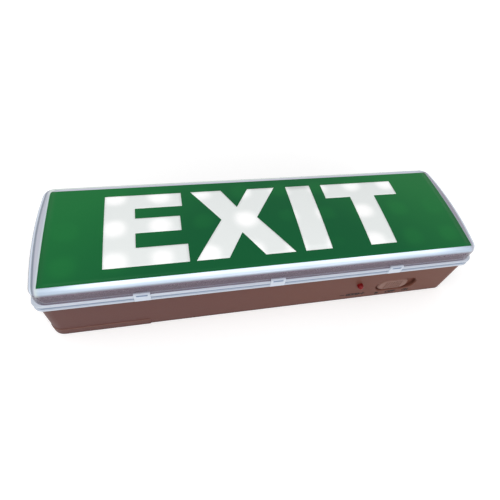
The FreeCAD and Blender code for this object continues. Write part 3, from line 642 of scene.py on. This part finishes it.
# ---------- materials
class Nodes:
    """Small helper that adds nodes to one material."""

    def __init__(self, name, roughness=0.5, metallic=0.0):
        self.material = bpy.data.materials.new(name)
        self.material.use_nodes = True
        self.tree = self.material.node_tree
        self.shader = self.tree.nodes["Principled BSDF"]
        self.place = self.add("ShaderNodeTexCoord").outputs["Object"]
        self.set("Roughness", roughness)
        self.set("Metallic", metallic)

    def add(self, kind, **settings):
        """A new node with its settings."""
        node = self.tree.nodes.new(kind)
        for key, value in settings.items():
            setattr(node, key, value)
        return node

    def feed(self, socket, value):
        """Links an output, or sets a number, a vector or a colour without its alpha."""
        if isinstance(value, bpy.types.NodeSocket):
            self.tree.links.new(value, socket)
        elif socket.type == "RGBA":
            socket.default_value = (*value, 1.0)
        else:
            socket.default_value = value

    def set(self, name, value):
        """Feeds one input of the shader."""
        self.feed(self.shader.inputs[name], value)

    def math(self, operation, a, b=0.0, c=0.0):
        """Result of one sum on outputs or numbers."""
        node = self.add("ShaderNodeMath", operation=operation)
        for socket, value in zip(node.inputs, (a, b, c)):
            self.feed(socket, value)
        return node.outputs[0]

    def soft_step(self, value, start, end, low=0.0, high=1.0):
        """Low up to start, high past end, and a smooth step between."""
        node = self.add("ShaderNodeMapRange", interpolation_type="SMOOTHSTEP")
        for socket, number in zip(node.inputs, (value, start, end, low, high)):
            self.feed(socket, number)
        return node.outputs["Result"]

    def axis(self, name):
        """Position along one axis, in metres."""
        split = self.add("ShaderNodeSeparateXYZ")
        self.feed(split.inputs[0], self.place)
        return split.outputs[name]

    def noise(self, scale, detail=2.0, roughness=0.5, stretch=(1, 1, 1)):
        """Soft noise over the object's place; a low stretch draws it out along that axis."""
        mapping = self.add("ShaderNodeMapping")
        texture = self.add("ShaderNodeTexNoise")
        self.feed(mapping.inputs["Scale"], stretch)
        self.feed(mapping.inputs["Vector"], self.place)
        self.feed(texture.inputs["Vector"], mapping.outputs[0])
        for name, value in (("Scale", scale), ("Detail", detail), ("Roughness", roughness)):
            self.feed(texture.inputs[name], value)
        return texture.outputs["Fac"]

    def ramp(self, factor, stops):
        """Colours or greys along a factor; stops are (place, value)."""
        node = self.add("ShaderNodeValToRGB")
        self.feed(node.inputs[0], factor)
        elements = node.color_ramp.elements
        while len(elements) < len(stops):
            elements.new(0.5)
        for element, (place, value) in zip(elements, stops):
            element.position = place
            rgb = (value,) * 3 if isinstance(value, (int, float)) else value
            element.color = (*rgb, 1.0)
        return node.outputs["Color"]

    def mix(self, factor, a, b):
        """Colour a where the factor is 0 and b where it is 1."""
        node = self.add("ShaderNodeMix", data_type="RGBA")
        for place, value in ((0, factor), (6, a), (7, b)):
            self.feed(node.inputs[place], value)
        return node.outputs[2]

    def bump(self, height, distance):
        """Fine relief from a grey output."""
        node = self.add("ShaderNodeBump")
        self.feed(node.inputs["Distance"], distance)
        self.feed(node.inputs["Height"], height)
        self.set("Normal", node.outputs[0])

    def seen(self):
        """1 for the camera, for reflections and for what shows through clear plastic, else 0."""
        path = self.add("ShaderNodeLightPath").outputs
        shown = self.math("MAXIMUM", path["Is Camera Ray"], path["Is Glossy Ray"])
        return self.math("MAXIMUM", shown, path["Is Transmission Ray"])


class SkyNodes(Nodes):
    """The same helper for the world's own nodes."""

    def __init__(self, world):
        world.use_nodes = True
        self.tree = world.node_tree
        self.shader = self.tree.nodes["Background"]


def shades(rgb, dark, light):
    """Two stops of a ramp: a colour made darker by one share and lighter by another."""
    stops = ((0.3, dark), (0.7, light))
    return [(place, tuple(min(1.0, c * share) for c in rgb)) for place, share in stops]


def moulded(name, rgb, roughness=0.5, grain=0.00003, spread=0.06, scale=60.0):
    """Moulded plastic: slight flow variation in the colour, and a fine grain."""
    nodes = Nodes(name, roughness)
    nodes.set("Specular IOR Level", 0.14)
    flow = nodes.noise(scale, 3.0, 0.6, (0.4, 1.0, 1.0))
    nodes.set("Base Color", nodes.ramp(flow, shades(rgb, 1 - spread, 1 + spread)))
    nodes.bump(nodes.noise(2600.0, 2.0, 0.6), grain)
    return nodes


def housing_plastic(sizes, tones):
    """Moulded housing: a slow change of tone from end to end, a painted highlight on the left foot's
    band, a painted shadow along the back edge and painted shade under the flange."""
    nodes = Nodes("housing_plastic", 0.46)
    nodes.set("Specular IOR Level", 0.14)
    flow = nodes.noise(60.0, 3.0, 0.6, (0.4, 1.0, 1.0))
    sway = nodes.math("MULTIPLY_ADD", flow, 0.5, -0.25)
    along = nodes.soft_step(nodes.axis("X"), -0.16, 0.16)
    tone = nodes.mix(nodes.math("ADD", along, sway), tones.housing, tones.housing_warm)
    # Painted highlight: a thin line of the knob's lighter colour along the top edge of the left foot's
    # band, where light catches it
    band = nodes.math("COMPARE", nodes.axis("Z"), sizes.foot_height, sizes.foot_highlight)
    at_left = nodes.math("LESS_THAN", nodes.axis("X"), sizes.foot_end)
    tone = nodes.mix(nodes.math("MULTIPLY", band, at_left), tone, tones.knob)
    # Painted contact shadow along the back edge, and painted shade under the flange's overhang
    foot = nodes.soft_step(nodes.axis("Z"), 0.0, sizes.foot_shade, low=0.7, high=0.0)
    eaves = nodes.soft_step(nodes.axis("Z"), *sizes.eaves, low=0.0, high=0.35)
    nodes.set("Base Color", nodes.mix(nodes.math("ADD", foot, eaves), tone, tones.housing_painted_shade))
    nodes.bump(nodes.noise(2600.0, 2.0, 0.6), 0.00003)
    return nodes


def sheet_metal(name, rgb, roughness=0.32):
    """Plated or bare metal with fine drawn lines."""
    nodes = Nodes(name, roughness, 1.0)
    lines = nodes.noise(900.0, 2.0, 0.6, (0.08, 1.0, 1.0))
    nodes.set("Base Color", nodes.ramp(lines, shades(rgb, 0.9, 1.06)))
    nodes.bump(lines, 0.00001)
    return nodes


def hot_spots(nodes, low=0.0, high=1.0):
    """Soft blobs of light over the LEDs: the product of two raised cosines of the LED pitch,
    stretched to a soft plateau and made uneven by a slow noise."""
    pitch_x = (CHIPS_HIGH[0] - CHIPS_LOW[0]) / (CHIP_COLUMNS - 1)
    pitch_y = (CHIPS_HIGH[1] - CHIPS_LOW[1]) / (CHIP_ROWS - 1)
    waves = []
    for axis, pitch, shift in (("X", pitch_x, 0.5), ("Y", pitch_y, 0.0)):
        turns = nodes.math("MULTIPLY_ADD", nodes.axis(axis), 2 * math.pi / pitch, 2 * math.pi * shift)
        waves.append(nodes.math("MULTIPLY_ADD", nodes.math("COSINE", turns), 0.5, 0.5))
    wander = nodes.math("MULTIPLY_ADD", nodes.noise(30.0, 2.0), 0.7, -0.35)
    blob = nodes.math("ADD", nodes.math("MULTIPLY", *waves), wander)
    edge, core = 0.12, 0.98
    return nodes.soft_step(blob, edge, core, low, high)


def far_out(nodes, start, end):
    """0 up to a distance from the middle along X and 1 past another, with a soft step between."""
    return nodes.soft_step(nodes.math("ABSOLUTE", nodes.axis("X")), start, end)


def end_light_and_shade(nodes, sizes, places, tones):
    """Painted light and shade at both ends and along the far side of the clear cover, by the distance
    inside the case outline: a thin painted dark rim and a painted light band, then on the left a painted
    dark line, a grey and a painted light line beside the film, and on the right a dark grey of painted
    shade. The bow takes a share of y squared off each end."""
    half_length, half_width = COVER_HIGH[0] - sizes.reach, COVER_HIGH[1] - sizes.reach
    bowed = nodes.math("MULTIPLY", nodes.axis("Y"), math.sqrt(sizes.bow) / half_width)
    bowed = nodes.math("MULTIPLY", bowed, bowed)
    out = nodes.math("ABSOLUTE", nodes.axis("X"))
    end = nodes.math("SUBTRACT", half_length, nodes.math("ADD", out, bowed))
    side = nodes.math("SUBTRACT", half_width - places.side_shift, nodes.axis("Y"))
    span = 10.0 * MM
    share = nodes.math("DIVIDE", nodes.math("MINIMUM", end, side), span)

    def bands(*stops):
        return nodes.ramp(share, [(place * MM / span, tone) for place, tone in stops])

    rim, light, dark = tones.rim, tones.end_light, tones.end_shade_line
    left = bands((1.0, rim), (1.5, light), (2.6, light), (3.2, dark), (4.0, dark), (4.9, tones.end_grey))
    right = bands((1.7, rim), (2.3, light), (3.8, light), (4.8, tones.end_right))
    beside = nodes.soft_step(out, *(FILM_HIGH[0] + place for place in places.film_line))
    left = nodes.mix(beside, tones.film_line, left)
    return nodes.mix(nodes.soft_step(nodes.axis("X"), *places.right_end), left, right)


def clear_plastic(sizes, places, tones):
    """Polished clear plastic: colour, haze and painted light of each height, from the painted highlights
    on the lips of the flange through the side wall, partly see-through and partly darkened to painted
    shade, to the shoulder with its painted light and glow, which stays grey at the two ends."""
    nodes = Nodes("clear_cover_plastic", 0.09)
    low, high = COVER_LOW[2], COVER_HIGH[2]
    lip, flange = low + sizes.groove_low, low + sizes.flange
    groove_end = lip + sizes.groove_height
    round_start = high - sizes.crown_rise - sizes.shoulder
    step = sizes.edge
    share = nodes.math("DIVIDE", nodes.math("SUBTRACT", nodes.axis("Z"), low), high - low)

    def bands(*stops):
        return nodes.ramp(share, [((z - low) / (high - low), value) for z, value in stops])

    # Colour by height: painted highlights on both lips, the groove between them, the side wall darkened
    # to painted shade, and painted light in the shoulder
    tint = bands(
        (low, tones.lip),
        (lip, tones.lip),
        (lip + step, tones.groove),
        (groove_end - step, tones.groove),
        (groove_end, tones.lip),
        (flange + 0.3 * step, tones.lip),
        (flange + 1.2 * step, tones.haze),
        (round_start + 1.6 * MM, tones.haze),
        (round_start + 2.5 * MM, tones.fade),
        (round_start + 3.4 * MM, tones.shoulder),
    )
    outer = far_out(nodes, *places.ends)
    far_side = nodes.soft_step(nodes.axis("Y"), *places.far_side)
    upper = bands((round_start, 0.0), (round_start + 2.0 * MM, 1.0))
    # Past the ends and along the far side, the shoulder takes bands of painted light and shade
    turned = nodes.math("MULTIPLY", nodes.math("MAXIMUM", outer, far_side), upper)
    nodes.set("Base Color", nodes.mix(turned, tint, end_light_and_shade(nodes, sizes, places, tones)))
    haze = bands(
        (flange + 0.3 * step, 0.86),
        (flange + 1.2 * step, 0.8),
        (flange + 3.0 * MM, 0.5),
        (round_start, 0.5),
        (round_start + 3.2 * MM, 0.88),
    )
    nodes.set("Alpha", haze)
    light = bands(
        (round_start + 1.9 * MM, 0.0),
        (round_start + 3.3 * MM, 0.08),
        (round_start + 4.2 * MM, 0.24),
        (high - sizes.crown_rise, 0.6),
    )
    patchy = nodes.math("MULTIPLY_ADD", nodes.noise(22.0, 1.0, 0.5, (1.0, 0.0, 0.0)), 1.2, 0.4)
    ends = far_out(nodes, *places.glow)
    inner = nodes.math("SUBTRACT", 1.0, nodes.math("MAXIMUM", ends, far_side))
    glow = nodes.math("MULTIPLY", nodes.math("MULTIPLY", light, patchy), inner)
    nodes.set("Emission Strength", glow)
    nodes.set("Emission Color", tones.glow)
    nodes.set("IOR", 1.49)
    return nodes


def lit_film(sizes, places, tones):
    """Printed green film, a little brighter over the LEDs and towards both ends, lighter towards
    its upper edge as a painted reflection, and with a narrow unprinted margin along that edge."""
    nodes = Nodes("green_film_print", 0.4)
    nodes.set("Specular IOR Level", 0.09)
    ends = nodes.math("ADD", far_out(nodes, *places.green), hot_spots(nodes, low=-0.12, high=0.22))
    # Painted reflection: the film grows lighter towards its upper edge
    upward_reflection = nodes.math("MULTIPLY", nodes.axis("Y"), 0.4 / FILM_HIGH[1])
    tone = nodes.mix(nodes.math("ADD", ends, upward_reflection), tones.green, tones.green_end)
    printed = FILM_HIGH[1] - sizes.margin
    margin = nodes.soft_step(nodes.axis("Y"), printed, printed + sizes.margin_edge)
    tone = nodes.mix(margin, tone, tones.end_grey)
    nodes.set("Base Color", tone)
    nodes.set("Emission Color", tone)
    nodes.set("Emission Strength", tones.film_light)
    nodes.bump(nodes.noise(1800.0), 0.00001)
    return nodes


def lit_letters(tones):
    """White letters lit from behind, with soft bright spots over the LEDs."""
    nodes = Nodes("letter_white", 0.42)
    nodes.set("Specular IOR Level", 0.16)
    spots = hot_spots(nodes)
    nodes.set("Base Color", nodes.mix(spots, tones.letters, (0.96, 0.96, 0.96)))
    nodes.set("Emission Strength", nodes.math("MULTIPLY", spots, tones.letter_light))
    nodes.set("Emission Color", WHITE)
    return nodes


def tinted_lens(tones):
    """Red tinted lamp: a soft glow inside a glossy skin."""
    nodes = Nodes("lamp_red", 0.35)
    cloud = nodes.noise(420.0, 2.0)
    nodes.set("Base Color", nodes.ramp(cloud, shades(tones.lamp, 0.8, 1.15)))
    nodes.set("Emission Color", tones.lamp)
    nodes.set("Emission Strength", tones.lamp_light)
    nodes.set("Specular IOR Level", 0.2)
    return nodes


def dress(nodes, *names):
    """Puts the nodes' material on pieces or CAD nodes."""
    for name in names:
        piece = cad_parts.get(name) or bpy.data.objects[name]
        piece.data.materials.clear()
        piece.data.materials.append(nodes.material)


# ---------- operators
class EXITLIGHT_OT_housing(Operator):
    """Finish of the moulded housing, its upstand, gasket and grommet"""

    bl_idname = "exit_light.housing"
    bl_label = "Housing"

    def execute(self, context):
        tones = context.scene.exit_finishes
        dress(housing_plastic(context.scene.exit_housing, tones), "housing")
        dress(moulded("upstand_plastic", tones.housing, 0.46), "upstand")
        dress(moulded("gasket_silicone", display(190, 196, 200), 0.6), "gasket")
        dress(moulded("grommet_rubber", display(28, 28, 29), 0.7), "cable_grommet")
        return {"FINISHED"}


class EXITLIGHT_OT_cover(Operator):
    """Clear cover with its grooved flange"""

    bl_idname = "exit_light.cover"
    bl_label = "Cover"

    def execute(self, context):
        scene = context.scene
        shell = cover_shell(scene.exit_cover)
        smooth(shell)
        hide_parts("cover")
        tones = scene.exit_finishes
        dress(clear_plastic(scene.exit_cover, scene.exit_tints, tones), shell.name)
        pads = clip_pads(scene.exit_cover)
        # The pads take the painted highlight colour of the lips; their windows take the darker groove
        # colour
        clear = moulded("clip_plastic_highlight", tones.lip, 0.15, grain=0.0, spread=0.05)
        shaded = moulded("clip_window", tones.groove, 0.3, grain=0.0, spread=0.05)
        pads.data.materials.append(clear.material)
        pads.data.materials.append(shaded.material)
        return {"FINISHED"}


class EXITLIGHT_OT_legend(Operator):
    """Green film and its white letters"""

    bl_idname = "exit_light.legend"
    bl_label = "Legend"

    def execute(self, context):
        scene = context.scene
        film = legend_sheet(scene.exit_legend, scene.exit_cover)
        smooth(film)
        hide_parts("legend_film")
        tones = scene.exit_finishes
        dress(lit_film(scene.exit_legend, scene.exit_tints, tones), film.name)
        word = letters(scene.exit_legend, scene.exit_cover)
        smooth(word)
        dress(lit_letters(tones), word.name)
        return {"FINISHED"}


class EXITLIGHT_OT_light_box(Operator):
    """Finishes of the diffuser, the pan, its screws, the strips and the LEDs"""

    bl_idname = "exit_light.light_box"
    bl_label = "Light box"

    def execute(self, context):
        dress(moulded("opal_panel", display(238, 242, 246), 0.4, spread=0.02), "diffuser_panel")
        dress(moulded("pan_enamel", display(236, 236, 233), 0.35, spread=0.02), "led_pan")
        strips = [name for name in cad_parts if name.startswith("led_strip")]
        dress(moulded("strip_mask", display(240, 240, 238), 0.4, spread=0.02), *strips)
        lit = moulded("led_phosphor", display(250, 240, 190), 0.3, spread=0.05)
        lit.set("Emission Color", display(255, 250, 228))
        lit.set("Emission Strength", context.scene.exit_finishes.led_light)
        dress(lit, "led_chips")
        dress(sheet_metal("screw_plating", display(200, 202, 206)), "pan_screws")
        return {"FINISHED"}


class EXITLIGHT_OT_gear(Operator):
    """Finishes of the battery and the two boards with their parts"""

    bl_idname = "exit_light.gear"
    bl_label = "Gear"

    def execute(self, context):
        finishes = {
            "battery_sleeve": ((48, 92, 160), ["battery_pack"]),
            "board_mask": ((22, 96, 58), ["control_board", "front_board"]),
            "ferrite": ((58, 58, 60), ["transformer_core"]),
            "winding_tape": ((214, 178, 60), ["transformer_coil"]),
            "choke_winding": ((150, 84, 44), ["mains_choke"]),
            "can_sleeve": ((40, 40, 48), ["capacitors"]),
            "film_case": ((178, 70, 44), ["film_capacitor"]),
            "chip_case": ((34, 34, 35), ["driver_chip", "bridge_rectifier", "fuse", "switch_lever"]),
            "terminal_case": ((46, 130, 76), ["terminal_block"]),
            "white_nylon": ((226, 224, 214), ["terminal_tabs", "battery_plug"]),
        }
        for name, (rgb, pieces) in finishes.items():
            dress(moulded(name, display(*rgb), 0.45, scale=200.0), *pieces)
        metal = sheet_metal("tinned_steel", display(190, 190, 194), 0.3)
        dress(metal, "slide_switch", "indicator_leads")
        return {"FINISHED"}


class EXITLIGHT_OT_selector(Operator):
    """Finish of the selector knob"""

    bl_idname = "exit_light.selector"
    bl_label = "Selector"

    def execute(self, context):
        dress(moulded("knob_plastic", context.scene.exit_finishes.knob, 0.4), "switch_knob")
        return {"FINISHED"}


class EXITLIGHT_OT_lamp(Operator):
    """Red charge indicator"""

    bl_idname = "exit_light.lamp"
    bl_label = "Lamp"

    def execute(self, context):
        lens = lamp_lens(context.scene.exit_lamp)
        smooth(lens)
        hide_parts("charge_indicator")
        dress(tinted_lens(context.scene.exit_finishes), lens.name)
        return {"FINISHED"}


class EXITLIGHT_OT_marks(Operator):
    """Printed marks on the side wall"""

    bl_idname = "exit_light.marks"
    bl_label = "Marks"

    def execute(self, context):
        scene = context.scene
        ink = moulded("mark_ink", scene.exit_finishes.marks, 0.5, grain=0.0)
        for mark in wall_marks(scene.exit_marks, scene.exit_housing):
            dress(ink, mark.name)
        return {"FINISHED"}


class EXITLIGHT_OT_stage(Operator):
    """Floor, even light, soft lamps and camera"""

    bl_idname = "exit_light.stage"
    bl_label = "Stage"

    def execute(self, context):
        settings = context.scene.exit_stage
        build_floor(settings)
        build_world(context.scene, settings.ambient)
        soft_lamp("key_lamp", settings.key_place, settings.aim, settings.key, settings.key_size)
        soft_lamp("fill_lamp", settings.fill_place, settings.aim, settings.fill, settings.fill_size)
        build_camera(context.scene, settings)
        return {"FINISHED"}


def build_floor(settings):
    """Wide pale floor that shows white where no shadow falls on it."""
    corners = np.array([[-1, -1, 0], [1, -1, 0], [1, 1, 0], [-1, 1, 0]]) * settings.floor
    mesh = bpy.data.meshes.new("floor")
    mesh.from_pydata(corners.tolist(), [], [(0, 1, 2, 3)])
    floor = show("floor", mesh)
    nodes = Nodes("floor_white", 0.9)
    pale = nodes.noise(3.0)
    nodes.set("Base Color", nodes.ramp(pale, [(0.0, 0.78), (1.0, 0.82)]))
    nodes.set("Specular IOR Level", 0.0)
    nodes.set("Emission Color", WHITE)
    away = nodes.add("ShaderNodeVectorMath", operation="LENGTH")
    nodes.feed(away.inputs[0], nodes.place)
    start, end, near = settings.floor_start, settings.floor_end, settings.floor_near
    white = nodes.soft_step(away.outputs["Value"], start, end, low=near)
    nodes.set("Emission Strength", nodes.math("MULTIPLY", nodes.seen(), white))
    floor.data.materials.append(nodes.material)


def build_world(scene, ambient):
    """White to the camera and in reflections, a plain level of light for everything else."""
    scene.world = bpy.data.worlds.new("even_light")
    sky = SkyNodes(scene.world)
    sky.set("Color", WHITE)
    sky.set("Strength", sky.soft_step(sky.seen(), 0.0, 1.0, low=ambient))


def soft_lamp(name, place, aim, power, size):
    """Square area lamp that faces a point at one height over the middle of the object."""
    data = bpy.data.lights.new(name, "AREA")
    data.energy = power
    data.size = size
    lamp = show(name, data)
    direction = -np.array(place)
    direction[2] += aim
    lamp.location = place
    x, y, z = direction
    lamp.rotation_euler = (math.atan2(math.hypot(x, y), -z), 0.0, math.atan2(-x, y))


def build_camera(scene, settings):
    """Camera above the near left part of the object, and plain display colours."""
    data = bpy.data.cameras.new("camera")
    data.sensor_width = 36.0
    data.lens = settings.lens / MM
    data.clip_start = 0.01
    camera = show("camera", data)
    camera.location = settings.place
    camera.rotation_euler = settings.turn
    scene.camera = camera
    scene.view_settings.view_transform = "Standard"


OPERATORS = (
    EXITLIGHT_OT_housing,
    EXITLIGHT_OT_cover,
    EXITLIGHT_OT_legend,
    EXITLIGHT_OT_light_box,
    EXITLIGHT_OT_gear,
    EXITLIGHT_OT_selector,
    EXITLIGHT_OT_lamp,
    EXITLIGHT_OT_marks,
    EXITLIGHT_OT_stage,
)


class EXITLIGHT_PT_panel(Panel):
    """Sizes, colours and the steps that build the dressing"""

    bl_label = "Exit light"
    bl_idname = "EXITLIGHT_PT_panel"
    bl_space_type = "VIEW_3D"
    bl_region_type = "UI"
    bl_category = "Exit light"

    def draw(self, context):
        scene = context.scene
        for operator in OPERATORS:
            self.layout.operator(operator.bl_idname)
        for name in GROUPS:
            group = getattr(scene, name)
            box = self.layout.box()
            for key in group.__annotations__:
                box.prop(group, key)


GROUPS = {
    "exit_housing": HousingSizes,
    "exit_cover": CoverSizes,
    "exit_legend": LegendSizes,
    "exit_lamp": LampSizes,
    "exit_marks": MarkSizes,
    "exit_tints": ToneAndLightPlaces,
    "exit_finishes": Finishes,
    "exit_stage": StageSettings,
}
CLASSES = (*GROUPS.values(), *OPERATORS, EXITLIGHT_PT_panel)


def register():
    """Registers the classes and gives the scene its settings."""
    for item in CLASSES:
        bpy.utils.register_class(item)
    for name, group in GROUPS.items():
        setattr(bpy.types.Scene, name, PointerProperty(type=group))


def unregister():
    """Takes the settings and the classes away again."""
    for name in GROUPS:
        delattr(bpy.types.Scene, name)
    for item in reversed(CLASSES):
        bpy.utils.unregister_class(item)


def main():
    """Builds every piece in order."""
    register()
    bpy.ops.exit_light.housing()
    bpy.ops.exit_light.cover()
    bpy.ops.exit_light.legend()
    bpy.ops.exit_light.light_box()
    bpy.ops.exit_light.gear()
    bpy.ops.exit_light.selector()
    bpy.ops.exit_light.lamp()
    bpy.ops.exit_light.marks()
    bpy.ops.exit_light.stage()


if __name__ == "__main__":
    main()
